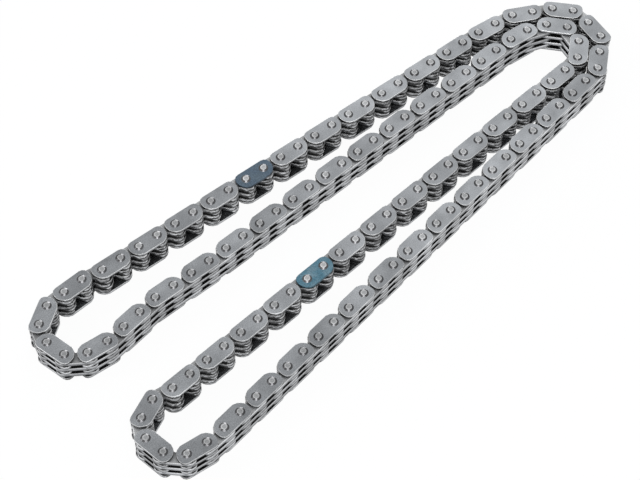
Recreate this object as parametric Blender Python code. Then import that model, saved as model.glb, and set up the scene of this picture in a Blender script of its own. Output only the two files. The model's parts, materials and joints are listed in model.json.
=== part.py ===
"""Timing chain: an endless toothed-plate chain of 128 pitches, lying on its side in a hairpin loop.

The real chain is a stack of seven plates. Every second row is a guide row: a guide plate above and
below two toothed plates. The rows between them, the inner rows, have three toothed plates. Riveted
pins hold the rows together. The pins stand along +Z, the two fingers of the hairpin point to -X,
and the teeth are on the inside of the loop.

Rows that the loop keeps in line are built as one section, and the sections turn on real pins. The
two marked links are built plate by plate.
"""

import math

import bmesh
import bpy
import numpy as np
from mathutils import Vector

# Driving dimensions, in metres.
PITCH = 0.008          # from pin to pin
PLATE = 0.00145        # thickness of every plate
LAYER_GAP = 0.00010    # free play between two plates of the stack
HEAD_HEIGHT = 0.0004   # rivet head above the guide plate
PIN_RADIUS = 0.155 * PITCH
HEAD_RADIUS = 0.200 * PITCH
HEAD_TOP_RADIUS = 0.125 * PITCH
RUNNING_FIT = 0.00006  # between a pin and the hole that turns on it
OPEN_FIT = 0.00035     # the same at the pivot where the loop is opened
SEAT_GAP = 0.00003     # between the pieces of a marked link
EMBED = 0.00005        # how far fused pieces run into each other
FACETS = 6             # sides of a pin

# Shape of the plates, in pitches. u runs from the first pin to the second, v to the flat back.
BACK = 0.42
BACK_CORNER = 0.22
SHOULDER = (0.43, 0.18)
GUIDE_BACK = 0.41
GUIDE_CORNER = 0.27
GUIDE_END = (0.455, -0.02)
GUIDE_FOOT = (0.16, -0.46)
TOOTH_DEPTH = 0.50
TOOTH_TIP = 0.07       # half of the width of a tooth tip
CROTCH = -0.08         # height of the notch between the two teeth of a plate

# The lie of the loop: how far it bends at each pin, in degrees. Right-hand bends, towards the teeth,
# are negative. All the other pins are straight.
ROWS = 128
START_HEADING = 31.0
FINGER_1_TIP = {124: -13, 125: -30, 126: -43, 127: -29, 0: -39, 1: -30, 2: -3, 3: -12, 4: 8}
OUTER_BEND = {26: -4, 27: -3, 28: -19, 30: -21, 31: -41, 32: -10, 33: -40, 34: -2, 35: -30, 36: -2}
FINGER_2_TIP = {61: -3, 62: -11, 63: -40, 64: -36, 65: -37, 66: -39, 67: -30, 68: 10}
INNER_BEND = {93: 6, 94: 32, 95: 37, 96: 51, 97: 30, 98: 15, 99: 7}
INNER_STRAND_1 = {118: -2, 121: 9, 122: -1}
CLOSING_PINS = (1, 31, 65)   # these bends are adjusted until the ends of the loop meet

# The sections: name, first pin, last pin. Each one turns on the pins at its ends.
OPEN_PIVOT = 96
SECTIONS = [
    ("outer_bend_middle", 30, 33),
    ("outer_bend_side_1", 27, 30),
    ("outer_strand_1_section_1", 20, 27),
    ("outer_strand_1_section_2", 13, 20),
    ("marked_link_1", 12, 13),
    ("outer_strand_1_section_3", 7, 12),
    ("outer_strand_1_section_4", 2, 7),
    ("finger_1_tip_outer", 127, 130),
    ("finger_1_tip_inner", 124, 127),
    ("inner_strand_1_section_3", 115, 124),
    ("inner_strand_1_section_2", 107, 115),
    ("inner_strand_1_section_1", 99, 107),
    ("inner_bend_side_1", 96, 99),
    ("outer_bend_side_2", 33, 36),
    ("outer_strand_2_section_1", 36, 45),
    ("outer_strand_2_section_2", 45, 54),
    ("outer_strand_2_section_3", 54, 62),
    ("finger_2_tip_outer", 62, 65),
    ("finger_2_tip_inner", 65, 68),
    ("inner_strand_2_section_3", 68, 76),
    ("marked_link_2", 76, 77),
    ("inner_strand_2_section_2", 77, 85),
    ("inner_strand_2_section_1", 85, 93),
    ("inner_bend_side_2", 93, 96),
]
# A section turns on the pin nearer to the middle of the outer bend.
FIRST_OF_BRANCH_2 = "outer_bend_side_2"


def layer(number: int) -> tuple[float, float]:
    """Bottom and top of one of the seven plates of the stack, counted from below."""
    bottom = HEAD_HEIGHT + (number - 1) * (PLATE + LAYER_GAP)
    return bottom, bottom + PLATE


STACK_HEIGHT = layer(7)[1] + HEAD_HEIGHT


def bend_list() -> list[float]:
    """The bend at every pin, in radians, before the loop is closed."""
    bends = [0.0] * ROWS
    for run in (FINGER_1_TIP, OUTER_BEND, FINGER_2_TIP, INNER_BEND, INNER_STRAND_1):
        for pin, degrees in run.items():
            bends[pin] = math.radians(degrees)
    return bends


def walk(bends: list[float]) -> tuple[list[Vector], float]:
    """Pin centres, in pitches, and the heading left over after one turn round the loop."""
    heading = math.radians(START_HEADING)
    place = Vector((0.0, 0.0))
    pins = [place]
    for row in range(ROWS):
        place = place + Vector((math.cos(heading), math.sin(heading)))
        pins.append(place)
        heading += bends[(row + 1) % ROWS]
    return pins, heading - math.radians(START_HEADING) + math.tau


def close_loop() -> list[Vector]:
    """Adjust three bends by Newton's method until 128 equal pitches close, and return the pins."""
    bends = bend_list()
    for _ in range(12):
        pins, turn = walk(bends)
        miss = np.array([*(pins[ROWS] - pins[0]), turn])
        slope = np.zeros((3, 3))
        for column, pin in enumerate(CLOSING_PINS):
            arm = pins[ROWS] - pins[pin]
            slope[:, column] = (-arm.y, arm.x, 1.0)
        for pin, change in zip(CLOSING_PINS, np.linalg.solve(slope, -miss)):
            bends[pin] += float(change)
    pins, _ = walk(bends)
    low = Vector((min(p.x for p in pins), min(p.y for p in pins)))
    high = Vector((max(p.x for p in pins), max(p.y for p in pins)))
    return [(p - (low + high) / 2) * PITCH for p in pins[:ROWS]]


PINS = close_loop()


def pin(number: int) -> Vector:
    """Centre of a pin, counted round the loop."""
    return PINS[number % ROWS]


def in_row(row: int, outline: list[tuple[float, float]]) -> list[Vector]:
    """Carry an outline given in pitches to its place between the two pins of a row."""
    start, end = pin(row), pin(row + 1)
    along = (end - start).normalized()
    back = Vector((-along.y, along.x))
    return [start + (along * u + back * v) * PITCH for u, v in outline]


def at_pin(number: int, u: float, v: float) -> Vector:
    """A place beside a pin, in pitches, on the line that halves its bend."""
    before = (pin(number) - pin(number - 1)).normalized()
    after = (pin(number + 1) - pin(number)).normalized()
    along = (before + after).normalized()
    back = Vector((-along.y, along.x))
    return pin(number) + (along * u + back * v / along.dot(after)) * PITCH


def guide_outline() -> list[tuple[float, float]]:
    """A guide plate: flat back, round shoulders, and a foot with two chamfers."""
    half = [(-GUIDE_CORNER, GUIDE_BACK), (-GUIDE_END[0], GUIDE_END[1]), (-GUIDE_FOOT[0], GUIDE_FOOT[1])]
    return half + [(1.0 - u, v) for u, v in reversed(half)]


def toothed_outline() -> list[tuple[float, float]]:
    """A toothed plate: flat back, round shoulders, and one tooth under each pin."""
    half = [(-BACK_CORNER, BACK), (-SHOULDER[0], SHOULDER[1]), (-TOOTH_TIP, -TOOTH_DEPTH),
            (TOOTH_TIP, -TOOTH_DEPTH)]
    return half + [(0.5, CROTCH)] + [(1.0 - u, v) for u, v in reversed(half)]


def ring(centre: Vector, radius: float, sides: int = FACETS) -> list[Vector]:
    """A regular polygon about a pin."""
    return [centre + Vector((math.cos(a), math.sin(a))) * radius
            for a in ((k + 0.5) * math.tau / sides for k in range(sides))]


def prism(outline: list[Vector], low: float, high: float, top: list[Vector] | None = None):
    """A closed bmesh on an outline from one height to another; top may be a second outline."""
    shape = bmesh.new()
    face = shape.faces.new([shape.verts.new((p.x, p.y, low)) for p in outline])
    raised = bmesh.ops.extrude_face_region(shape, geom=[face])["geom"]
    corners = [v for v in raised if isinstance(v, bmesh.types.BMVert)]
    bmesh.ops.translate(shape, verts=corners, vec=(0.0, 0.0, high - low))
    if top is not None:
        for corner in corners:
            index = min(range(len(outline)), key=lambda k: (outline[k] - corner.co.xy).length)
            corner.co.xy = top[index]
    bmesh.ops.recalc_face_normals(shape, faces=shape.faces)
    return shape


def as_object(name: str, shapes: list) -> bpy.types.Object:
    """Put one or more bmeshes in one object."""
    mesh = bpy.data.meshes.new(name)
    gathered = bmesh.new()
    for shape in shapes:
        piece = bpy.data.meshes.new("piece")
        shape.to_mesh(piece)
        shape.free()
        gathered.from_mesh(piece)
        bpy.data.meshes.remove(piece)
    gathered.to_mesh(mesh)
    gathered.free()
    thing = bpy.data.objects.new(name, mesh)
    bpy.context.scene.collection.objects.link(thing)
    return thing


def combine(thing: bpy.types.Object, shapes: list, operation: str) -> None:
    """Unite the shapes with the object, or cut them out of it, and keep the result as its mesh."""
    if not shapes:
        return
    tool = as_object("tool", shapes)
    tool.hide_render = True
    tool.display_type = "WIRE"
    change = thing.modifiers.new(operation.title(), "BOOLEAN")
    change.operation = operation
    change.solver = "EXACT"
    change.use_self = True
    change.object = tool
    evaluated = thing.evaluated_get(bpy.context.evaluated_depsgraph_get())
    result = bpy.data.meshes.new_from_object(evaluated)
    thing.modifiers.clear()
    old = thing.data
    thing.data = result
    bpy.data.meshes.remove(old)
    bpy.data.objects.remove(tool)


def finish(thing: bpy.types.Object, material: bpy.types.Material, joint: Vector) -> None:
    """Clean a piece, give it its material, and move its origin onto the axis it turns on."""
    shape = bmesh.new()
    shape.from_mesh(thing.data)
    bmesh.ops.remove_doubles(shape, verts=shape.verts, dist=1e-7)
    bmesh.ops.dissolve_limit(shape, angle_limit=math.radians(0.2), verts=shape.verts,
                             edges=shape.edges)
    origin = Vector((joint.x, joint.y, STACK_HEIGHT / 2))
    bmesh.ops.translate(shape, verts=shape.verts, vec=-origin)
    shape.to_mesh(thing.data)
    shape.free()
    thing.data.name = thing.name
    thing.location = origin
    thing.data.materials.clear()
    thing.data.materials.append(material)
    for face in thing.data.polygons:
        face.use_smooth = True
    thing.data.set_sharp_from_angle(angle=math.radians(50))


def metal(name: str, colour: tuple[float, float, float], metallic: float, roughness: float):
    """A plain Principled material."""
    material = bpy.data.materials.new(name)
    material.use_nodes = True
    surface = material.node_tree.nodes["Principled BSDF"]
    surface.inputs["Base Color"].default_value = (*colour, 1.0)
    surface.inputs["Metallic"].default_value = metallic
    surface.inputs["Roughness"].default_value = roughness
    material.diffuse_color = (*colour, 1.0)
    return material


def head(centre: Vector, top: bool) -> bmesh.types.BMesh:
    """The coned head of a riveted pin, above or below the stack."""
    foot = ring(centre, HEAD_RADIUS)
    crown = ring(centre, HEAD_TOP_RADIUS)
    if top:
        return prism(foot, layer(7)[1] - EMBED, STACK_HEIGHT, crown)
    return prism(crown, 0.0, layer(1)[0] + EMBED, foot)


def minus(spans: list, others: list) -> list:
    """What is left of some height spans when other spans are taken out of them."""
    left = []
    for low, high in spans:
        start = low
        for bottom, top in sorted(others):
            if bottom < high and top > start:
                if bottom > start:
                    left.append((start, bottom))
                start = max(start, top)
        if start < high:
            left.append((start, high))
    return left


def stack(cells: list[tuple[list[Vector], list[tuple[float, float]]]]) -> bmesh.types.BMesh:
    """One solid from neighbouring outlines, each filled over its own height spans.

    Neighbours share the corners of their common edges, and the wall between them is left out
    wherever both are filled.
    """
    keys = [[(round(p.x, 9), round(p.y, 9)) for p in outline] for outline, _ in cells]
    levels, edges = {}, {}
    for corners, (_, spans) in zip(keys, cells):
        for index, corner in enumerate(corners):
            levels.setdefault(corner, set()).update(z for span in spans for z in span)
            follower = corners[(index + 1) % len(corners)]
            edges[(corner, follower)] = spans
    shape = bmesh.new()
    verts = {(c, z): shape.verts.new((*c, z)) for c in levels for z in sorted(levels[c])}
    for corners, (_, spans) in zip(keys, cells):
        for low, high in spans:
            shape.faces.new([verts[(c, low)] for c in reversed(corners)])
            shape.faces.new([verts[(c, high)] for c in corners])
    for (start, end), spans in edges.items():
        for low, high in minus(spans, edges.get((end, start), [])):
            up = [z for z in sorted(levels[end]) if low <= z <= high]
            down = [z for z in sorted(levels[start], reverse=True) if low <= z <= high]
            shape.faces.new([verts[(end, z)] for z in up] + [verts[(start, z)] for z in down])
    bmesh.ops.recalc_face_normals(shape, faces=shape.faces)
    return shape


def toothed_layers(row: int) -> list[tuple[float, float]]:
    """The heights of the toothed plates of a row."""
    return [layer(number) for number in ((3, 5) if row % 2 == 0 else (2, 4, 6))]


def fused_rows(first: int, last: int) -> bmesh.types.BMesh:
    """The toothed plates between two hinge pins: one core, and separate plates at both ends."""
    near = [(0.5, CROTCH), SHOULDER, (BACK_CORNER, BACK)]
    half = toothed_outline()[:4]
    entry = in_row(first, [(1.0 - u, v) for u, v in reversed(near)])
    leave = in_row(last - 1, near)
    opening = in_row(first, half) + entry[::-1]
    closing = leave[::-1] + in_row(last - 1, [(1.0 - u, v) for u, v in reversed(half)])
    core = entry[:]
    for number in range(first + 1, last):
        core += [at_pin(number, -TOOTH_TIP, -TOOTH_DEPTH), at_pin(number, TOOTH_TIP, -TOOTH_DEPTH)]
        if number < last - 1:
            core += in_row(number, [(0.5, CROTCH)])
    core += leave
    core += [at_pin(number, 0.0, BACK) for number in reversed(range(first + 1, last))]
    full = [(layer(1)[1] - EMBED, layer(7)[0] + EMBED)]
    return stack([(opening, toothed_layers(first)), (core, full), (closing, toothed_layers(last - 1))])


def section_shapes(first: int, last: int) -> tuple[list, list]:
    """Solids to unite and solids to cut for the rows between two hinge pins."""
    add, cut = [fused_rows(first, last)], []
    for row in range(first, last):
        if row % 2 == 0:
            for number in (1, 7):
                add.append(prism(in_row(row, guide_outline()), *layer(number)))
    for number, row in ((first, first), (last, last - 1)):
        if row % 2 == 0:
            shank = (layer(1)[1] - EMBED, layer(7)[0] + EMBED)
            add.append(prism(ring(pin(number), PIN_RADIUS), *shank))
            add += [head(pin(number), True), head(pin(number), False)]
        else:
            fit = OPEN_FIT if number % ROWS == OPEN_PIVOT else RUNNING_FIT
            hole = (PIN_RADIUS + fit) / math.cos(math.pi / FACETS)
            cut.append(prism(ring(pin(number), hole), 0.0, STACK_HEIGHT))
    return add, cut


def make_section(name: str, first: int, last: int, joint: Vector) -> None:
    """One fused section of the chain, with its pins at the guide-row ends and holes at the others."""
    add, cut = section_shapes(first, last)
    thing = as_object(name, [add[0]])
    combine(thing, add[1:], "UNION")
    combine(thing, cut, "DIFFERENCE")
    finish(thing, metal(name + "_steel", (0.42, 0.42, 0.43), 1.0, 0.38), joint)


def make_marked_link(name: str, first: int, joint: Vector) -> None:
    """A marked guide row, plate by plate: two guide plates, two toothed plates and two pins."""
    bore = (PIN_RADIUS + SEAT_GAP) / math.cos(math.pi / FACETS)
    blue = metal(name + "_blue", (0.05, 0.16, 0.24), 0.6, 0.4)
    plates = [("top_guide_plate", 7, guide_outline(), blue),
              ("bottom_guide_plate", 1, guide_outline(), None),
              ("upper_toothed_plate", 5, toothed_outline(), None),
              ("lower_toothed_plate", 3, toothed_outline(), None)]
    for label, number, outline, material in plates:
        thing = as_object(f"{name}_{label}", [prism(in_row(first, outline), *layer(number))])
        holes = [prism(ring(pin(first + k), bore), 0.0, STACK_HEIGHT) for k in (0, 1)]
        combine(thing, holes, "DIFFERENCE")
        steel = material or metal(f"{name}_{label}_steel", (0.42, 0.42, 0.43), 1.0, 0.38)
        finish(thing, steel, joint)
    for k, label in ((0, "first_pin"), (1, "second_pin")):
        centre = pin(first + k)
        low, high = layer(1)[0] - SEAT_GAP, layer(7)[1] + SEAT_GAP
        foot, crown = ring(centre, HEAD_RADIUS), ring(centre, HEAD_TOP_RADIUS)
        thing = as_object(f"{name}_{label}", [prism(ring(centre, PIN_RADIUS), low - EMBED,
                                                    high + EMBED)])
        combine(thing, [prism(foot, high, STACK_HEIGHT, crown), prism(crown, 0.0, low, foot)],
                "UNION")
        finish(thing, metal(f"{name}_{label}_steel", (0.62, 0.62, 0.62), 1.0, 0.3), joint)


def main() -> None:
    """Build every section and set the part on the floor, centred on its bounding box."""
    for thing in list(bpy.data.objects):
        bpy.data.objects.remove(thing)
    branch = 1
    for name, first, last in SECTIONS:
        if name == FIRST_OF_BRANCH_2:
            branch = 2
        joint = pin(last if branch == 1 else first)
        if name == SECTIONS[0][0]:
            joint = (pin(first) + pin(last)) / 2
        if name.startswith("marked"):
            make_marked_link(name, first, joint)
        else:
            make_section(name, first, last, joint)
    bpy.context.view_layer.update()
    things = [t for t in bpy.data.objects if t.type == "MESH"]
    corners = [t.matrix_world @ v.co for t in things for v in t.data.vertices]
    low = Vector(min(c[k] for c in corners) for k in range(3))
    high = Vector(max(c[k] for c in corners) for k in range(3))
    shift = Vector(((low.x + high.x) / 2, (low.y + high.y) / 2, low.z))
    for thing in things:
        thing.location -= shift
    bpy.context.view_layer.update()


main()
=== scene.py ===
"""Timing chain: the finished look of the toothed chain that lies in a hairpin loop.

Every link of the real chain is a plate of its own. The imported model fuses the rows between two
hinge pins, so each of its sections is replaced here by all of its guide plates, toothed plates and
riveted pins, which ride on the section's body.
"""

import json
import logging
import math
from dataclasses import dataclass, field
from enum import Enum

import bmesh
import bpy
import numpy as np
from mathutils import Matrix, Vector


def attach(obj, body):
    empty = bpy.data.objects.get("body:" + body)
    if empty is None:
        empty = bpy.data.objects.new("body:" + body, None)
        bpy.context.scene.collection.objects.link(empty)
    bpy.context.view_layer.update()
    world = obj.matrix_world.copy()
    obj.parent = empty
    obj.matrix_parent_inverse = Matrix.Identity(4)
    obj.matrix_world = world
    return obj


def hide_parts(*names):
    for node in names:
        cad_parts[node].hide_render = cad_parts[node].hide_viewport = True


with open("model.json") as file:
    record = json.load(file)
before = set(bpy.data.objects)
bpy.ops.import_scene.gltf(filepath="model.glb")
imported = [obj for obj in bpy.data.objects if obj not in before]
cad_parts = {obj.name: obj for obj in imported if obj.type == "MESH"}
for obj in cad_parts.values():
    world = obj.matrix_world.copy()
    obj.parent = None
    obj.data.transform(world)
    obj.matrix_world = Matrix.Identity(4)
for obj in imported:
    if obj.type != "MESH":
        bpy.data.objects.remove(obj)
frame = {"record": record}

LOG = logging.getLogger("timing_chain")

Colour = tuple[float, float, float]
Point = tuple[float, float, float]
Socket = bpy.types.NodeSocket

# The chain, in metres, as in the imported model.
PITCH = 0.008
PLATE = 0.00145
LAYER_GAP = 0.00010
HEAD_HEIGHT = 0.0004
LAYERS = 7
ROWS = 128
STACK = 2 * HEAD_HEIGHT + LAYERS * PLATE + (LAYERS - 1) * LAYER_GAP

# The seven plates of the stack from below: thin guide plates outside, and the toothed plates of the
# inner rows thicker than those of the guide rows. Together they are as high as seven equal ones.
PLATES = (0.00105, 0.00175, 0.00140, 0.00175, 0.00140, 0.00175, 0.00105)

# The layers, counted from below, in which a row has its plates. Guide rows have even numbers.
GUIDE_LAYERS = (1, LAYERS)
GUIDE_ROW_TOOTHED = (3, 5)
INNER_ROW_TOOTHED = (2, 4, 6)

# The lie of the loop: the bend at each pin in degrees, towards the teeth negative.
START_HEADING = 31.0
BENDS = {
    124: -13, 125: -30, 126: -43, 127: -29, 0: -39, 1: -30, 2: -3, 3: -12, 4: 8,
    26: -4, 27: -3, 28: -19, 30: -21, 31: -41, 32: -10, 33: -40, 34: -2, 35: -30, 36: -2,
    61: -3, 62: -11, 63: -40, 64: -36, 65: -37, 66: -39, 67: -30, 68: 10,
    93: 6, 94: 32, 95: 37, 96: 51, 97: 30, 98: 15, 99: 7, 118: -2, 121: 9, 122: -1,
}
CLOSING_PINS = (1, 31, 65)
CLOSING_ROUNDS = 12
ANCHOR_JOINT = "finger_1_sway"   # this joint lies on the pin below
ANCHOR_PIN = 27

# How dark the steel is made, from 0 to 1, partly oil and partly painted shade where the stack keeps
# the light off: the flanks of the teeth and the crotch between them, how much less there is at
# their tips, the share that their flats have, flats shut between plates at the back and at the
# teeth, and the end walls of the guide plates, which are painted shade only.
TOOTH_OIL_AND_SHADE = 0.80
CROTCH_OIL_AND_SHADE = 0.85
TIP_LIGHTER = 0.25
FLAT_SHARE = 0.80
SHUT_OIL_AND_SHADE = (0.97, 0.58)
END_SHADE = 0.85

# How far the copies of a piece differ in lightness, and the waves, in radians, that set it.
GUIDE_SPREAD = 0.11
TOOTHED_SPREAD = 0.20
PIN_SPREAD = 0.10
TONE_STEP = 12.9898
TONE_SWING = 0.7
TONE_SWING_STEP = 4.1414

MARKED_PIN_TONE = 1.35   # lightness of the rubbed pins in the blue plates
PIN_TURN = 1.7           # turn from pin to pin, in radians
SHARP_ANGLE = 32.0       # edges that bend more than this, in degrees, are shaded as edges
CLOSE = 1e-7             # points nearer than this, in metres, are at the same place


class Part(Enum):
    """The kinds of piece a section is made of."""

    GUIDE = "guide_plates"
    TOOTHED = "toothed_plates"
    PINS = "pins"


class Face(Enum):
    """The three surfaces of a stamped plate, each with its own finish."""

    FLAT = 0
    RIM = 1
    WALL = 2


class Head(Enum):
    """The three surfaces of a riveted pin, each with its own finish."""

    MIDDLE = 0
    RING = 1
    SIDE = 2


class Pattern(Enum):
    """The noise patterns: features in each metre, and octaves."""

    GRAIN = (2600.0, 4.0)
    CLOUDS = (110.0, 3.0)
    BAND_WANDER = (420.0, 1.0)
    BAND_PATCHES = (700.0, 3.0)
    COAT_GRAIN = (2400.0, 3.0)
    COAT_WEAR = (260.0, 4.0)


@dataclass
class Route:
    """The pin centres of the closed loop.

    Args:
        pitch: Distance from pin to pin.
        bends: Bend at each pin, in degrees.
    """

    pitch: float = PITCH
    bends: dict[int, float] = field(default_factory=lambda: dict(BENDS))
    pins: list[Vector] = field(init=False)

    def __post_init__(self) -> None:
        """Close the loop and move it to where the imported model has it."""
        angles = [math.radians(self.bends.get(pin, 0.0)) for pin in range(ROWS)]
        for _ in range(CLOSING_ROUNDS):
            pins, turn = self.walk(angles)
            miss = np.array([*(pins[ROWS] - pins[0]), turn])
            slope = np.zeros((3, 3))
            for column, pin in enumerate(CLOSING_PINS):
                arm = pins[ROWS] - pins[pin]
                slope[:, column] = (-arm.y, arm.x, 1.0)
            for pin, change in zip(CLOSING_PINS, np.linalg.solve(slope, -miss)):
                angles[pin] += float(change)
        pins, _ = self.walk(angles)
        joints = frame["record"]["behaviour"]["joints"]
        anchor = next(j for j in joints if j["name"] == ANCHOR_JOINT)["pos_m"]
        shift = Vector(anchor[:2]) - pins[ANCHOR_PIN] * self.pitch
        self.pins = [p * self.pitch + shift for p in pins[:ROWS]]

    @staticmethod
    def walk(angles: list[float]) -> tuple[list[Vector], float]:
        """Walk once round the loop.

        Args:
            angles: Bend at each pin, in radians.

        Returns:
            The pin centres in pitches, and the heading that is left over.
        """
        heading = math.radians(START_HEADING)
        place = Vector((0.0, 0.0))
        pins = [place]
        for row in range(ROWS):
            place = place + Vector((math.cos(heading), math.sin(heading)))
            pins.append(place)
            heading += angles[(row + 1) % ROWS]
        return pins, heading - math.radians(START_HEADING) + math.tau

    def pin(self, number: int) -> Vector:
        """Centre of a pin, counted round the loop."""
        return self.pins[number % ROWS]

    def row(self, number: int, layer: int) -> Matrix:
        """Place of a plate in a row.

        Args:
            number: The row, which starts at the pin of the same number.
            layer: The plate's layer, counted from below.

        Returns:
            The matrix that takes a plate made about the origin there, and gives it the thickness of
            its layer.
        """
        start, end = self.pin(number), self.pin(number + 1)
        along = end - start
        turn = Matrix.Rotation(math.atan2(along.y, along.x), 4, "Z")
        made = PLATES[0] if layer in GUIDE_LAYERS else PLATE
        thick = Matrix.Diagonal((1.0, 1.0, PLATES[layer - 1] / made, 1.0))
        return Matrix.Translation((start.x, start.y, layer_floor(layer))) @ turn @ thick


def layer_floor(number: int) -> float:
    """Underside of one of the seven plates of the stack, counted from below."""
    return HEAD_HEIGHT + sum(PLATES[:number - 1]) + (number - 1) * LAYER_GAP


def grey(level: float) -> Colour:
    """A colour with this value in all three channels."""
    return (level, level, level)


# Where a noise pattern is darkest and lightest: the fine speckle, and the clouds and the roughness.
SPECKLE_SPAN = (0.32, 0.68)
NOISE_SPAN = (0.3, 0.7)

# Height in a plate's wall, from 0 to about 1.2, and how light the steel is there.
UNDARKENED_BANDS = [
    (0.32, grey(0.12)), (0.46, grey(0.92)), (0.80, grey(1.0)), (0.98, (1.65, 1.65, 1.66)),
]
# On walls darkened by oil and painted shade, the burnished band is lifted well above the rest.
OILY_SHADED_BANDS = [
    (0.46, (0.42, 0.41, 0.40)), (0.70, grey(0.8)), (0.84, grey(3.4)), (0.96, grey(3.4)),
    (1.0, grey(0.9)),
]

# How far the bands wander up and down, with the clouds and on walls with oil and painted shade,
# where they also come and go, and how soon a wall counts as dark.
CLOUD_WANDER = 0.35
OILY_SHADED_WANDER = 0.55
OILY_SHADED_PATCHES = [(0.38, grey(0.35)), (0.60, grey(1.35))]
OILY_SHADED_GAIN = 2.0

# The blue coat: where it is rubbed thin, its fine speckle, and how dark it is painted on the
# plate's walls, as painted shade.
COAT_THIN = [(0.45, grey(0.0)), (0.72, grey(1.0))]
COAT_SPECKLE = [(0.34, grey(0.72)), (0.66, grey(1.24))]
COAT_EDGE_SHADE = 0.45


@dataclass
class NodeBoard:
    """A material under construction.

    Args:
        name: Name of the material.
    """

    name: str
    material: bpy.types.Material = field(init=False)
    shader: bpy.types.Node = field(init=False)
    output: bpy.types.Node = field(init=False)

    def __post_init__(self) -> None:
        """Start from an empty board with a Principled shader and an output."""
        self.material = bpy.data.materials.new(self.name)
        self.material.use_nodes = True
        self.material.node_tree.nodes.clear()
        self.shader = self.add("ShaderNodeBsdfPrincipled")
        self.output = self.add("ShaderNodeOutputMaterial")
        self.join(self.shader.outputs["BSDF"], self.output.inputs["Surface"])

    def add(self, kind: str, **values: object) -> bpy.types.Node:
        """Add a node.

        Args:
            kind: Blender's node type.
            **values: Properties, or inputs by their name with underscores for spaces.

        Returns:
            The new node.
        """
        node = self.material.node_tree.nodes.new(kind)
        for key, value in values.items():
            socket = node.inputs.get(key.replace("_", " "))
            if socket is not None:
                socket.default_value = value
            else:
                setattr(node, key, value)
        return node

    def join(self, source: Socket, target: Socket) -> None:
        """Link two sockets."""
        self.material.node_tree.links.new(source, target)

    def math(self, operation: str, first: Socket | float, second: Socket | float) -> Socket:
        """A Math node.

        Args:
            operation: Blender's name of the operation.
            first: Socket or number.
            second: Socket or number.

        Returns:
            The result's socket.
        """
        node = self.add("ShaderNodeMath", operation=operation)
        for socket, value in zip(node.inputs, (first, second)):
            if isinstance(value, Socket):
                self.join(value, socket)
            else:
                socket.default_value = value
        return node.outputs[0]

    def ramp(self, source: Socket, stops: list[tuple[float, Colour]]) -> Socket:
        """A colour ramp.

        Args:
            source: What drives it.
            stops: Positions and their colours.

        Returns:
            The colour's socket.
        """
        node = self.add("ShaderNodeValToRGB")
        elements = node.color_ramp.elements
        while len(elements) < len(stops):
            elements.new(0.5)
        for element, (position, colour) in zip(elements, stops):
            element.position = position
            element.color = (*colour, 1.0)
        self.join(source, node.inputs["Fac"])
        return node.outputs["Color"]

    def about_one(self, source: Socket, depth: float, span: tuple[float, float]) -> Socket:
        """A grey that varies about 1.

        Args:
            source: The pattern that drives it.
            depth: How far it goes from 1.
            span: Where the pattern is darkest and lightest.

        Returns:
            The grey's socket.
        """
        dark, light = span
        return self.ramp(source, [(dark, grey(1.0 - depth)), (light, grey(1.0 + depth))])

    def noise(self, pattern: Pattern) -> Socket:
        """Noise on the object's own coordinates.

        Args:
            pattern: Which pattern.

        Returns:
            The noise's socket.
        """
        scale, detail = pattern.value
        place = self.add("ShaderNodeTexCoord")
        node = self.add("ShaderNodeTexNoise", Scale=scale, Detail=detail)
        self.join(place.outputs["Object"], node.inputs["Vector"])
        return node.outputs["Fac"]

    def mix(self, blend: str, factor: Socket | float, first: Socket | Colour,
            second: Socket | Colour) -> Socket:
        """Mix two colours.

        Args:
            blend: Blender's blend type.
            factor: Socket or number.
            first: Socket or colour.
            second: Socket or colour.

        Returns:
            The mixed colour's socket.
        """
        node = self.add("ShaderNodeMix", data_type="RGBA", blend_type=blend)
        for index, value in ((0, factor), (6, first), (7, second)):
            if isinstance(value, Socket):
                self.join(value, node.inputs[index])
            elif index:
                node.inputs[index].default_value = (*value, 1.0)
            else:
                node.inputs[index].default_value = value
        return node.outputs[2]

    def multiply(self, first: Socket | Colour, second: Socket | Colour) -> Socket:
        """One colour times another."""
        return self.mix("MULTIPLY", 1.0, first, second)

    def roughen(self, pattern: Socket, low: float, high: float) -> None:
        """Let the roughness follow a pattern.

        Args:
            pattern: The pattern.
            low: The smallest roughness.
            high: The largest.
        """
        dark, light = NOISE_SPAN
        span = self.add("ShaderNodeMapRange", From_Min=dark, From_Max=light, To_Min=low,
                        To_Max=high)
        self.join(pattern, span.inputs["Value"])
        self.join(span.outputs["Result"], self.shader.inputs["Roughness"])

    def bump(self, height: Socket, strength: float, distance: float) -> None:
        """Raise the surface by a height pattern.

        Args:
            height: The pattern.
            strength: How strongly it shows.
            distance: Its depth in metres.
        """
        node = self.add("ShaderNodeBump", Strength=strength, Distance=distance)
        self.join(height, node.inputs["Height"])
        self.join(node.outputs["Normal"], self.shader.inputs["Normal"])


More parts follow.
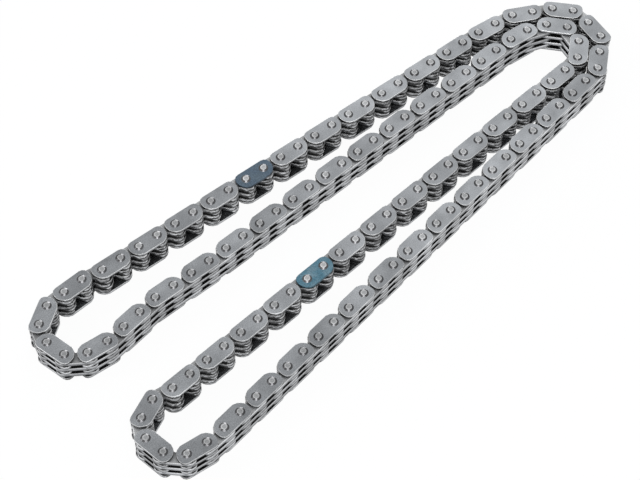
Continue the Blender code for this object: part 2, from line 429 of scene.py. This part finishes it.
@dataclass(frozen=True)
class Steel:
    """Tumbled steel: fine speckle, broad clouds, oil with painted shade and, on walls, the punch's
    bands.

    The attribute "tone" says in red how light a plate is, in green how dark with oil and painted
    shade a point is, and in blue how high it lies in its plate.

    Args:
        name: Name of the material.
        colour: Mean colour.
        rough: Smallest and largest roughness.
        speckle: Depth of the fine speckle, from 0 to 1.
        cloud: Depth of the broad clouds, from 0 to 1.
        grain: Depth of the bump in metres.
        raised: How strongly the bump shows.
        oily_and_shaded: How far the oil and painted shade darken the steel, from 0 to 1.
        sheared: Whether the wall shows the punch's sheared and torn bands.
    """

    name: str
    colour: Colour
    rough: tuple[float, float] = (0.30, 0.46)
    speckle: float = 0.20
    cloud: float = 0.20
    grain: float = 0.00002
    raised: float = 0.5
    oily_and_shaded: float = 0.85
    sheared: bool = False

    def material(self) -> bpy.types.Material:
        """Build the material.

        Returns:
            The new material.
        """
        board = NodeBoard(self.name)
        fine = board.noise(Pattern.GRAIN)
        broad = board.noise(Pattern.CLOUDS)
        colour = board.multiply(self.colour, board.about_one(fine, self.speckle, SPECKLE_SPAN))
        colour = board.multiply(colour, board.about_one(broad, self.cloud, NOISE_SPAN))
        attribute = board.add("ShaderNodeAttribute", attribute_name="tone")
        split = board.add("ShaderNodeSeparateColor")
        board.join(attribute.outputs["Color"], split.inputs["Color"])
        tone, oil_and_shade, height = (split.outputs[channel] for channel in ("Red", "Green", "Blue"))
        # The green channel darkens the steel: oil and painted shade.
        undarkened = board.math("SUBTRACT", 1.0, board.math("MULTIPLY", oil_and_shade, self.oily_and_shaded))
        shade = board.add("ShaderNodeCombineColor")
        for channel in ("Red", "Green", "Blue"):
            board.join(board.math("MULTIPLY", tone, undarkened), shade.inputs[channel])
        colour = board.multiply(colour, shade.outputs["Color"])
        if self.sheared:
            colour = board.multiply(colour, self.bands(board, height, broad, oil_and_shade))
        board.join(colour, board.shader.inputs["Base Color"])
        board.shader.inputs["Metallic"].default_value = 1.0
        board.roughen(fine, *self.rough)
        board.bump(fine, self.raised, self.grain)
        return board.material

    @staticmethod
    def bands(board: NodeBoard, height: Socket, broad: Socket, oil_and_shade: Socket) -> Socket:
        """The bands that the punch left in a wall: torn below, sheared and burnished above.

        Args:
            board: The material under construction.
            height: Height in the plate, from 0 to 1.
            broad: Noise that lets the bands wander.
            oil_and_shade: Oil and painted shade on the wall. Its burnished band then comes and
                goes.

        Returns:
            How light the wall is.
        """
        level = board.math("ADD", height, board.math("MULTIPLY", broad, CLOUD_WANDER))
        undarkened = board.ramp(level, UNDARKENED_BANDS)
        wander = board.math("SUBTRACT", board.noise(Pattern.BAND_WANDER), 0.5)
        wavy = board.math("ADD", level, board.math("MULTIPLY", wander, OILY_SHADED_WANDER))
        patches = board.ramp(board.noise(Pattern.BAND_PATCHES), OILY_SHADED_PATCHES)
        oily_and_shaded = board.multiply(board.ramp(wavy, OILY_SHADED_BANDS), patches)
        return board.mix("MIX", board.math("MULTIPLY", oil_and_shade, OILY_SHADED_GAIN), undarkened, oily_and_shaded)


@dataclass(frozen=True)
class BlueMark:
    """The blue marking coat on a guide plate, worn lighter where it was rubbed.

    Args:
        name: Name of the material.
        colour: The coat.
        worn: Where the coat is thin.
        rough: Smallest and largest roughness of the coat.
        metal: How far the steel shines through it, from 0 to 1.
        grain: Depth of the bump in metres.
        raised: How strongly the bump shows.
    """

    name: str
    colour: Colour
    worn: Colour
    rough: tuple[float, float] = (0.34, 0.48)
    metal: float = 0.75
    grain: float = 0.00001
    raised: float = 0.4

    def material(self) -> bpy.types.Material:
        """Build the material.

        Returns:
            The new material.
        """
        board = NodeBoard(self.name)
        fine = board.noise(Pattern.COAT_GRAIN)
        thin = board.ramp(board.noise(Pattern.COAT_WEAR), COAT_THIN)
        colour = board.mix("MIX", thin, self.colour, self.worn)
        colour = board.multiply(colour, board.ramp(fine, COAT_SPECKLE))
        board.join(colour, board.shader.inputs["Base Color"])
        board.shader.inputs["Metallic"].default_value = self.metal
        board.roughen(fine, *self.rough)
        board.bump(fine, self.raised, self.grain)
        return board.material


@dataclass
class Finishes:
    """Every finish of the chain, built once."""

    plate: bpy.types.Material = field(init=False)
    rim: bpy.types.Material = field(init=False)
    wall: bpy.types.Material = field(init=False)
    tooth_flat: bpy.types.Material = field(init=False)
    rivet: list[bpy.types.Material] = field(init=False)
    blue: dict[str, list[bpy.types.Material]] = field(init=False)

    def __post_init__(self) -> None:
        """Build the materials."""
        self.plate = Steel("guide_plate_steel", (0.229, 0.239, 0.251)).material()
        # The rim is a burnished edge, painted far lighter than the flats as a painted highlight.
        self.rim = Steel("burnished_rim_painted_highlight", (0.66, 0.665, 0.67), rough=(0.46, 0.60),
                         oily_and_shaded=0.78).material()
        self.wall = Steel("stamped_wall", (0.338, 0.346, 0.358), rough=(0.34, 0.55), cloud=0.14,
                          oily_and_shaded=0.80, sheared=True).material()
        self.tooth_flat = Steel("toothed_plate_steel", (0.26, 0.265, 0.27), rough=(0.36, 0.52),
                                cloud=0.14, oily_and_shaded=0.90).material()
        # The ring is painted lighter than the dish as a painted highlight; the side is painted dark
        # as painted shade round the head.
        self.rivet = [
            Steel("rivet_dish", (0.250, 0.255, 0.26), rough=(0.34, 0.46)).material(),
            Steel("rivet_ring_painted_highlight", (0.35, 0.355, 0.36), rough=(0.30, 0.42)).material(),
            Steel("rivet_side_painted_shade", (0.070, 0.070, 0.073), rough=(0.24, 0.32),
                  cloud=0.25).material(),
        ]
        self.blue = {
            "marked_link_1": self.coat("blue_mark_1", (0.066, 0.095, 0.128),
                                       (0.082, 0.112, 0.139)),
            "marked_link_2": self.coat("blue_mark_2", (0.062, 0.142, 0.190),
                                       (0.13, 0.20, 0.24)),
        }

    @staticmethod
    def coat(name: str, colour: Colour, worn: Colour) -> list[bpy.types.Material]:
        """The finishes of a marked plate, in the order of Face: the coat runs over its edge.

        Args:
            name: Name of the coat's material.
            colour: The coat.
            worn: Where the coat is thin.

        Returns:
            One material for each surface of the plate.
        """
        coat = BlueMark(name, colour, worn).material()
        # The coat on the plate's walls is painted darker as painted shade.
        edge = BlueMark(f"{name}_edge", tuple(c * COAT_EDGE_SHADE for c in colour), colour).material()
        return [coat, coat, edge]

    def of_plate(self, part: Part) -> list[bpy.types.Material]:
        """The three finishes of a plate, in the order of Face."""
        flat = self.plate if part is Part.GUIDE else self.tooth_flat
        return [flat, self.rim, self.wall]


def fresh_mesh(shape: bmesh.types.BMesh, name: str) -> bpy.types.Mesh:
    """Turn a bmesh into a mesh and free it.

    Args:
        shape: The bmesh.
        name: The mesh's name.

    Returns:
        The mesh, with its normals outwards.
    """
    bmesh.ops.recalc_face_normals(shape, faces=shape.faces)
    mesh = bpy.data.meshes.new(name)
    shape.to_mesh(mesh)
    shape.free()
    return mesh


@dataclass
class Stock:
    """A shape that is repeated, and where it is dark with oil and painted shade.

    Args:
        mesh: The shape about the origin.
        oil_and_shade: How dark each of its points is, from 0 to 1, by oil and painted shade.
        shut: The same for points of a flat that another plate lies on.
        top: Which points lie on its upper flat.
        bottom: Which points lie on its lower flat.
        level: How high each point lies in its plate, from 0 to 1.
    """

    mesh: bpy.types.Mesh
    oil_and_shade: np.ndarray
    shut: np.ndarray
    top: np.ndarray
    bottom: np.ndarray
    level: np.ndarray

    def oil_and_shade_of(self, shut_above: bool, shut_below: bool) -> np.ndarray:
        """How dark the points of one copy are.

        Args:
            shut_above: Whether another plate lies on it.
            shut_below: Whether it lies on another plate.

        Returns:
            One value for each point.
        """
        oil_and_shade = self.oil_and_shade.copy()
        # Flats that another plate covers take the darker slot value: oil and painted shade.
        if shut_above:
            oil_and_shade[self.top] = np.maximum(oil_and_shade, self.shut)[self.top]
        if shut_below:
            oil_and_shade[self.bottom] = np.maximum(oil_and_shade, self.shut)[self.bottom]
        return oil_and_shade


@dataclass
class Placing:
    """Where one copy of a stock stands.

    Args:
        matrix: Its place.
        tone: How light it is.
        shut_above: Whether another plate lies on it.
        shut_below: Whether it lies on another plate.
    """

    matrix: Matrix
    tone: float
    shut_above: bool = False
    shut_below: bool = False


@dataclass(frozen=True)
class Fade:
    """Where oil and painted shade begin, and over what length they grow full, in pitches.

    Args:
        start: Where it begins.
        length: How far from there it is full.
    """

    start: float
    length: float

    def at(self, depth: np.ndarray) -> np.ndarray:
        """From 0 where the darkening begins to 1 where it is full, and beyond."""
        return np.clip((depth - self.start) / self.length, 0.0, 1.0)


# Down from the pins: oil and painted shade of the teeth, how their tips get lighter, and how shut
# flats clear up.
TEETH_FADE = Fade(-0.25, 0.30)
TIP_FADE = Fade(0.10, 0.40)
SHUT_FADE = Fade(-0.20, 0.50)

# Along the row, from its middle: the ends of the guide plates, and inwards to the crotch.
MIDDLE = 0.5
END_FADE = Fade(0.72, 0.14)
CROTCH_FADE = Fade(-0.45, 0.45)


@dataclass
class Corner:
    """One corner of a plate's outline, in pitches.

    Args:
        u: Along the row from its first pin.
        v: Towards the flat back.
        radius: How far the corner is rounded along its two edges.
        steps: Flats of the rounding.
    """

    u: float
    v: float
    radius: float = 0.0
    steps: int = 1


@dataclass
class StampedPlate:
    """A plate stamped from strip: an outline with rounded corners, a thickness and broken edges.

    Args:
        corners: The half of the outline about the first pin; the other half is its mirror image.
        notch: Corner in the middle of the toothed side, if the plate has one.
        thickness: Height of the plate.
        broken: Width of the broken edge.
    """

    corners: list[Corner]
    notch: Corner | None = None
    thickness: float = PLATE
    broken: float = 0.00012

    def outline(self) -> list[Corner]:
        """The corners all round, with the notch between the two halves."""
        others = [Corner(1.0 - c.u, c.v, c.radius, c.steps) for c in reversed(self.corners)]
        return self.corners + ([self.notch] if self.notch else []) + others

    def shape(self) -> bmesh.types.BMesh:
        """Make the plate about the origin, with its first pin there.

        Returns:
            The plate, with Face as its material indices.
        """
        outline = self.outline()
        shape = bmesh.new()
        verts = [shape.verts.new((c.u * PITCH, c.v * PITCH, 0.0)) for c in outline]
        shape.faces.new(verts)
        for vert, corner in zip(verts, outline):
            if corner.radius:
                bmesh.ops.bevel(shape, geom=[vert], offset=corner.radius * PITCH,
                                segments=corner.steps, profile=0.5, affect="VERTICES", material=-1)
        shape.faces.ensure_lookup_table()
        raised = bmesh.ops.extrude_face_region(shape, geom=[shape.faces[0]])["geom"]
        lifted = [v for v in raised if isinstance(v, bmesh.types.BMVert)]
        bmesh.ops.translate(shape, verts=lifted, vec=(0.0, 0.0, self.thickness))
        bmesh.ops.recalc_face_normals(shape, faces=shape.faces)
        for face in shape.faces:
            flat = abs(face.normal.z) > 0.5
            face.material_index = Face.FLAT.value if flat else Face.WALL.value
        rims = [e for e in shape.edges if abs(e.verts[0].co.z - e.verts[1].co.z) < CLOSE]
        broken = bmesh.ops.bevel(shape, geom=rims, offset=self.broken, segments=1, profile=0.5,
                                 affect="EDGES", material=-1)
        for face in broken["faces"]:
            face.material_index = Face.RIM.value
        return shape

    def stock(self, name: str) -> Stock:
        """Make the plate and say where it is dark with oil and painted shade.

        Args:
            name: The mesh's name.

        Returns:
            The plate about the origin.
        """
        mesh = fresh_mesh(self.shape(), name)
        points = np.array([v.co for v in mesh.vertices])
        u, v, height = points[:, 0] / PITCH, points[:, 1] / PITCH, points[:, 2]
        oil_and_shade = self.oil_and_shade(u, v)
        top, bottom = height > self.thickness - CLOSE, height < CLOSE
        oil_and_shade[top | bottom] *= FLAT_SHARE if self.notch else 0.0
        # Flats shut between plates are made dark: oil and painted shade in the slot, most at the
        # back.
        back, teeth = SHUT_OIL_AND_SHADE
        shut = back + (teeth - back) * SHUT_FADE.at(-v)
        return Stock(mesh, oil_and_shade, shut, top, bottom, height / self.thickness)

    def oil_and_shade(self, u: np.ndarray, v: np.ndarray) -> np.ndarray:
        """How dark the plate is made by oil and painted shade.

        Args:
            u: Along the row, in pitches.
            v: Towards the flat back, in pitches.

        Returns:
            For a toothed plate 0 at the back and deepest in the crotch between the teeth, from oil
            and painted shade; for a guide plate, 0 but at its two ends, which get painted shade
            only.
        """
        off_middle = np.abs(u - MIDDLE)
        if self.notch is None:
            # The two ends of a guide plate get painted shade where the plates meet.
            return END_SHADE * END_FADE.at(off_middle)
        # Teeth and crotch: oil and painted shade, less towards the tips.
        crotch = (CROTCH_OIL_AND_SHADE - TOOTH_OIL_AND_SHADE) * CROTCH_FADE.at(-off_middle)
        return TEETH_FADE.at(-v) * (TOOTH_OIL_AND_SHADE - TIP_LIGHTER * TIP_FADE.at(-v) + crotch)


GUIDE_PLATE = StampedPlate(
    [
        Corner(-0.452, 0.42, 0.29, 3),
        Corner(-0.448, -0.165, 0.14, 2),
        Corner(-0.145, -0.48, 0.12, 1),
    ],
    thickness=PLATES[0],
)
TOOTHED_PLATE = StampedPlate(
    [
        Corner(-0.455, 0.42, 0.34, 3),
        Corner(-0.43, -0.02),
        Corner(-0.085, -0.50, 0.04, 1),
        Corner(0.085, -0.50),
        Corner(0.275, -0.395),
    ],
    notch=Corner(MIDDLE, -0.05, 0.12, 2),
)


@dataclass
class RivetedPin:
    """A pin through the whole stack, with a ring painted bright as a highlight about a matt dish at
    both ends.

    Args:
        shank: Radius of the pin.
        foot: Radius of the head where it meets the plate.
        crown: Outer radius of the ring on top.
        dish: Inner radius of the ring.
        sunk: How deep the dish is.
        step: How far the foot stands above the plate's face, and the shank's end below it.
        sides: Flats round the pin.
    """

    shank: float = 0.155 * PITCH
    foot: float = 0.224 * PITCH
    crown: float = 0.142 * PITCH
    dish: float = 0.096 * PITCH
    sunk: float = 0.00004
    step: float = 0.00002
    sides: int = 14

    def stock(self, name: str) -> Stock:
        """Make the pin standing on the origin.

        Args:
            name: The mesh's name.

        Returns:
            The pin, with Head as its material indices.
        """
        top, face = STACK, STACK - HEAD_HEIGHT
        profile = [(self.dish, top - self.sunk), (self.crown, top), (self.foot, face + self.step),
                   (self.shank, face - self.step)]
        profile += [(r, STACK - z) for r, z in reversed(profile)]
        shape = bmesh.new()
        verts = [shape.verts.new((r, 0.0, z)) for r, z in profile]
        edges = [shape.edges.new(pair) for pair in zip(verts, verts[1:])]
        bmesh.ops.spin(shape, geom=verts + edges, cent=(0, 0, 0), axis=(0, 0, 1), angle=math.tau,
                       steps=self.sides, use_merge=True, use_duplicate=False)
        bmesh.ops.remove_doubles(shape, verts=shape.verts, dist=CLOSE)
        open_edges = [e for e in shape.edges if e.is_boundary]
        bmesh.ops.holes_fill(shape, edges=open_edges, sides=self.sides)
        for side in shape.faces:
            side.material_index = self.surface(side).value
        mesh = fresh_mesh(shape, name)
        undarkened = np.zeros(len(mesh.vertices))
        nowhere = np.zeros(len(mesh.vertices), dtype=bool)
        return Stock(mesh, undarkened, undarkened, nowhere, nowhere, undarkened)

    def surface(self, face: bmesh.types.BMFace) -> Head:
        """Which surface of the pin a face belongs to.

        Args:
            face: A face of the pin.

        Returns:
            The surface.
        """
        reach = max(v.co.xy.length for v in face.verts)
        if reach < self.dish + CLOSE:
            return Head.MIDDLE
        near_end = min(min(v.co.z, STACK - v.co.z) for v in face.verts) < CLOSE
        return Head.RING if reach < self.crown + CLOSE and near_end else Head.SIDE


def tone_of(number: int, spread: float) -> float:
    """How light one plate is beside the others.

    Args:
        number: Any whole number that names the plate.
        spread: Largest difference from 1.

    Returns:
        A fixed value about 1.
    """
    swing = TONE_SWING * math.sin(number * TONE_SWING_STEP)
    return 1.0 + spread * math.sin(number * TONE_STEP + swing)


def gather(name: str, stock: Stock, places: list[Placing],
           slots: list[bpy.types.Material]) -> bpy.types.Object:
    """Repeat one stock in one object.

    Args:
        name: Name of the object.
        stock: The shape that is repeated.
        places: Where each copy stands.
        slots: The materials.

    Returns:
        The object, with its place in its mesh.
    """
    gathered = bmesh.new()
    for place in places:
        copy = stock.mesh.copy()
        copy.transform(place.matrix)
        gathered.from_mesh(copy)
        bpy.data.meshes.remove(copy)
    mesh = bpy.data.meshes.new(name)
    gathered.to_mesh(mesh)
    gathered.free()
    light = np.repeat([place.tone for place in places], len(stock.oil_and_shade))
    # Green channel: oil and painted shade of each copy.
    oil_and_shade = np.concatenate([stock.oil_and_shade_of(place.shut_above, place.shut_below) for place in places])
    level = np.tile(stock.level, len(places))
    shades = np.stack([light, oil_and_shade, level, np.ones_like(light)], axis=1)
    tone = mesh.attributes.new("tone", "FLOAT_COLOR", "POINT")
    tone.data.foreach_set("color", shades.astype(np.float32).ravel())
    for material in slots:
        mesh.materials.append(material)
    mesh.shade_smooth()
    mesh.set_sharp_from_angle(angle=math.radians(SHARP_ANGLE))
    thing = bpy.data.objects.new(name, mesh)
    bpy.context.scene.collection.objects.link(thing)
    return thing


@dataclass
class Section:
    """The rows of the chain between two hinge pins.

    Args:
        name: The CAD node and body.
        first: The first pin.
        last: The last pin.
    """

    name: str
    first: int
    last: int

    def rows(self) -> range:
        """The section's rows."""
        return range(self.first, self.last)

    def places(self, part: Part, route: Route) -> list[Placing]:
        """Where the pieces of one kind stand.

        Args:
            part: The kind of piece.
            route: The loop.

        Returns:
            The places.
        """
        places = []
        for row in self.rows():
            guide = row % 2 == 0
            if part is Part.PINS:
                numbers = (row, row + 1) if guide else ()
                places += [self.pin_place(number, route) for number in numbers]
                continue
            if part is Part.GUIDE:
                layers = GUIDE_LAYERS if guide else ()
            else:
                layers = GUIDE_ROW_TOOTHED if guide else INNER_ROW_TOOTHED
            places += [self.plate_place(row, layer, route) for layer in layers]
        return places

    @staticmethod
    def pin_place(number: int, route: Route, tone: float | None = None) -> Placing:
        """Where a pin stands.

        Args:
            number: The pin.
            route: The loop.
            tone: How light it is, if that is set.

        Returns:
            Its place, turned a little from pin to pin.
        """
        spot = route.pin(number)
        turn = Matrix.Rotation(number * PIN_TURN, 4, "Z")
        matrix = Matrix.Translation((spot.x, spot.y, 0.0)) @ turn
        return Placing(matrix, tone_of(number, PIN_SPREAD) if tone is None else tone)

    @staticmethod
    def plate_place(row: int, layer: int, route: Route) -> Placing:
        """Where a plate stands.

        Args:
            row: The plate's row.
            layer: Its layer, counted from below.
            route: The loop.

        Returns:
            Its place, and on which sides other plates lie. The outermost plates of the inner rows
            count as open on the outside, where guide plates cover only their ends.
        """
        spread = GUIDE_SPREAD if layer in GUIDE_LAYERS else TOOTHED_SPREAD
        tone = tone_of(row * (LAYERS + 1) + layer, spread)
        lowest, highest = INNER_ROW_TOOTHED[0], INNER_ROW_TOOTHED[-1]
        return Placing(route.row(row, layer), tone, layer < highest, layer > lowest)

    def build(self, route: Route, stocks: dict[Part, Stock], finishes: Finishes) -> None:
        """Build the section's pieces and put them on its body.

        Args:
            route: The loop.
            stocks: The stock of each kind of piece.
            finishes: The materials.
        """
        for part in Part:
            places = self.places(part, route)
            if not places:
                continue
            slots = finishes.rivet if part is Part.PINS else finishes.of_plate(part)
            piece = gather(f"{self.name}_{part.value}", stocks[part], places, slots)
            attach(piece, self.name)
            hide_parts(self.name)
            LOG.info("%s: %d pieces", piece.name, len(places))


@dataclass
class MarkedLink(Section):
    """A guide row on its own, whose upper guide plate carries the blue mark."""

    def build(self, route: Route, stocks: dict[Part, Stock], finishes: Finishes) -> None:
        """Build the link plate by plate, one piece for each CAD node.

        Args:
            route: The loop.
            stocks: The stock of each kind of piece.
            finishes: The materials.
        """
        row = self.first
        bottom, top = GUIDE_LAYERS
        lower, upper = GUIDE_ROW_TOOTHED
        plates = [
            ("top_guide_plate", Part.GUIDE, top, finishes.blue[self.name]),
            ("bottom_guide_plate", Part.GUIDE, bottom, finishes.of_plate(Part.GUIDE)),
            ("upper_toothed_plate", Part.TOOTHED, upper, finishes.of_plate(Part.TOOTHED)),
            ("lower_toothed_plate", Part.TOOTHED, lower, finishes.of_plate(Part.TOOTHED)),
        ]
        for label, part, layer, slots in plates:
            slot = f"{self.name}_blue" if layer == top else f"{self.name}_{label}_steel"
            self.dress(label, stocks[part], self.plate_place(row, layer, route), slots, slot)
        for label, number in (("first_pin", row), ("second_pin", row + 1)):
            place = self.pin_place(number, route, MARKED_PIN_TONE)
            slot = f"{self.name}_{label}_steel"
            self.dress(label, stocks[Part.PINS], place, finishes.rivet, slot)

    def dress(self, label: str, stock: Stock, place: Placing, finish: list[bpy.types.Material],
              slot: str) -> None:
        """Build one piece of the link in place of its CAD node.

        Args:
            label: The piece, as it ends the node's name.
            stock: Its stock.
            place: Where it stands.
            finish: Its materials.
            slot: The record's material slot. Not used.
        """
        node = f"{self.name}_{label}"
        piece = gather(f"{node}_finished", stock, [place], finish)
        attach(piece, self.name)
        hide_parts(node)
        LOG.info("%s", piece.name)


SECTIONS: list[Section] = [
    Section("outer_bend_middle", 30, 33),
    Section("outer_bend_side_1", 27, 30),
    Section("outer_strand_1_section_1", 20, 27),
    Section("outer_strand_1_section_2", 13, 20),
    MarkedLink("marked_link_1", 12, 13),
    Section("outer_strand_1_section_3", 7, 12),
    Section("outer_strand_1_section_4", 2, 7),
    Section("finger_1_tip_outer", 127, 130),
    Section("finger_1_tip_inner", 124, 127),
    Section("inner_strand_1_section_3", 115, 124),
    Section("inner_strand_1_section_2", 107, 115),
    Section("inner_strand_1_section_1", 99, 107),
    Section("inner_bend_side_1", 96, 99),
    Section("outer_bend_side_2", 33, 36),
    Section("outer_strand_2_section_1", 36, 45),
    Section("outer_strand_2_section_2", 45, 54),
    Section("outer_strand_2_section_3", 54, 62),
    Section("finger_2_tip_outer", 62, 65),
    Section("finger_2_tip_inner", 65, 68),
    Section("inner_strand_2_section_3", 68, 76),
    MarkedLink("marked_link_2", 76, 77),
    Section("inner_strand_2_section_2", 77, 85),
    Section("inner_strand_2_section_1", 85, 93),
    Section("inner_bend_side_2", 93, 96),
]


@dataclass(frozen=True)
class Lamp:
    """A square area lamp.

    Args:
        name: Its name.
        place: Where it stands.
        target: Where it points.
        side: Its side in metres.
        power: Its power in watts.
    """

    name: str
    place: Point
    target: Point
    side: float
    power: float

    def build(self) -> None:
        """Put the lamp in the scene."""
        data = bpy.data.lights.new(self.name, "AREA")
        data.size = self.side
        data.energy = self.power
        lamp = bpy.data.objects.new(self.name, data)
        lamp.location = self.place
        aim = Vector(self.target) - Vector(self.place)
        lamp.rotation_euler = aim.to_track_quat("-Z", "Y").to_euler()
        bpy.context.scene.collection.objects.link(lamp)


# The key lights the flat backs, the bank the double bend, the front lamp the upper faces and the
# near side of the rivet heads, and the low back lamp their far side.
LAMPS = (
    Lamp("key", (-0.9, 0.7, 0.8), (0.0, 0.0, 0.0), 0.35, 2.5),
    Lamp("bank", (0.40, 0.25, 0.50), (0.09, 0.0, 0.0), 0.30, 0.31),
    Lamp("front", (-0.40, -0.39, 1.13), (0.0, 0.0, 0.0), 0.50, 8.5),
    Lamp("back", (0.80, 0.78, 0.12), (0.0, 0.0, 0.0), 0.40, 6.5),
)


@dataclass
class Studio:
    """Floor, background, lamps and camera.

    Args:
        camera_place: Where the camera stands.
        camera_turn: Its rotation in degrees.
        lens: Its focal length in millimetres.
        sensor: Width of its sensor in millimetres.
        sight: The nearest and farthest it sees, in metres.
        soft_light: Colour of the light from all round.
        floor_reach: How far the floor goes from the middle, in metres.
        floor_colour: Colour of the floor.
        floor_rough: Roughness of the floor.
        floor_white: How far the floor is plain white for the camera; the rest keeps the shadow.
    """

    camera_place: Point = (-0.32994, -0.32403, 0.64179)
    camera_turn: tuple[float, float, float] = (35.008, -0.284, -43.507)
    lens: float = 121.65
    sensor: float = 36.0
    sight: tuple[float, float] = (0.01, 20.0)
    soft_light: Colour = (0.55, 0.56, 0.58)
    floor_reach: float = 6.0
    floor_colour: Colour = grey(0.86)
    floor_rough: float = 0.9
    floor_white: float = 0.93

    def build(self) -> None:
        """Build the studio and set the view transform."""
        bpy.context.scene.view_settings.view_transform = "Standard"
        self.background()
        self.floor()
        for lamp in LAMPS:
            lamp.build()
        self.camera()

    def camera(self) -> None:
        """Put the camera where the photograph was taken from."""
        camera = bpy.data.objects.new("camera", bpy.data.cameras.new("camera"))
        camera.location = self.camera_place
        camera.rotation_euler = [math.radians(a) for a in self.camera_turn]
        camera.data.lens = self.lens
        camera.data.sensor_width = self.sensor
        camera.data.clip_start, camera.data.clip_end = self.sight
        bpy.context.scene.collection.objects.link(camera)
        bpy.context.scene.camera = camera

    @staticmethod
    def direct_view(tree: bpy.types.NodeTree) -> Socket:
        """One for rays from the camera, from gloss and through glass, and none for the others.

        Args:
            tree: The node tree to build in.

        Returns:
            The factor's socket.
        """
        path = tree.nodes.new("ShaderNodeLightPath")
        total = path.outputs["Is Camera Ray"]
        for name in ("Is Glossy Ray", "Is Transmission Ray"):
            node = tree.nodes.new("ShaderNodeMath")
            node.operation = "MAXIMUM"
            tree.links.new(total, node.inputs[0])
            tree.links.new(path.outputs[name], node.inputs[1])
            total = node.outputs[0]
        return total

    def background(self) -> None:
        """A white world for direct views, and a soft grey light for everything else."""
        world = bpy.data.worlds.new("studio")
        bpy.context.scene.world = world
        world.use_nodes = True
        tree = world.node_tree
        tree.nodes.clear()
        output = tree.nodes.new("ShaderNodeOutputWorld")
        seen = tree.nodes.new("ShaderNodeBackground")
        seen.inputs["Color"].default_value = (*grey(1.0), 1.0)
        soft = tree.nodes.new("ShaderNodeBackground")
        soft.inputs["Color"].default_value = (*self.soft_light, 1.0)
        mix = tree.nodes.new("ShaderNodeMixShader")
        tree.links.new(self.direct_view(tree), mix.inputs["Fac"])
        tree.links.new(soft.outputs["Background"], mix.inputs[1])
        tree.links.new(seen.outputs["Background"], mix.inputs[2])
        tree.links.new(mix.outputs["Shader"], output.inputs["Surface"])

    def floor(self) -> None:
        """A pale floor that keeps the shadow of the chain."""
        shape = bmesh.new()
        bmesh.ops.create_grid(shape, x_segments=1, y_segments=1, size=self.floor_reach)
        floor = bpy.data.objects.new("floor", fresh_mesh(shape, "floor"))
        bpy.context.scene.collection.objects.link(floor)
        board = NodeBoard("pale_floor")
        board.shader.inputs["Base Color"].default_value = (*self.floor_colour, 1.0)
        board.shader.inputs["Roughness"].default_value = self.floor_rough
        glow = board.add("ShaderNodeEmission", Color=(*grey(1.0), 1.0), Strength=1.0)
        mix = board.add("ShaderNodeMixShader")
        seen = self.direct_view(board.material.node_tree)
        board.join(board.math("MULTIPLY", seen, self.floor_white), mix.inputs["Fac"])
        board.join(board.shader.outputs["BSDF"], mix.inputs[1])
        board.join(glow.outputs["Emission"], mix.inputs[2])
        board.join(mix.outputs["Shader"], board.output.inputs["Surface"])
        floor.data.materials.append(board.material)


def write_size() -> None:
    """Update the view layer, before and after the object is dressed.
    """
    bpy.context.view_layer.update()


def main() -> None:
    """Build the chain section by section, then the studio."""
    logging.basicConfig(level=logging.INFO)
    write_size()
    route = Route()
    finishes = Finishes()
    stocks = {
        Part.GUIDE: GUIDE_PLATE.stock("guide_plate"),
        Part.TOOTHED: TOOTHED_PLATE.stock("toothed_plate"),
        Part.PINS: RivetedPin().stock("riveted_pin"),
    }
    for part, stock in stocks.items():
        LOG.info("%s: %d faces each", part.value, len(stock.mesh.polygons))
    for section in SECTIONS:
        section.build(route, stocks, finishes)
    Studio().build()
    write_size()


if __name__ == "__main__":
    main()
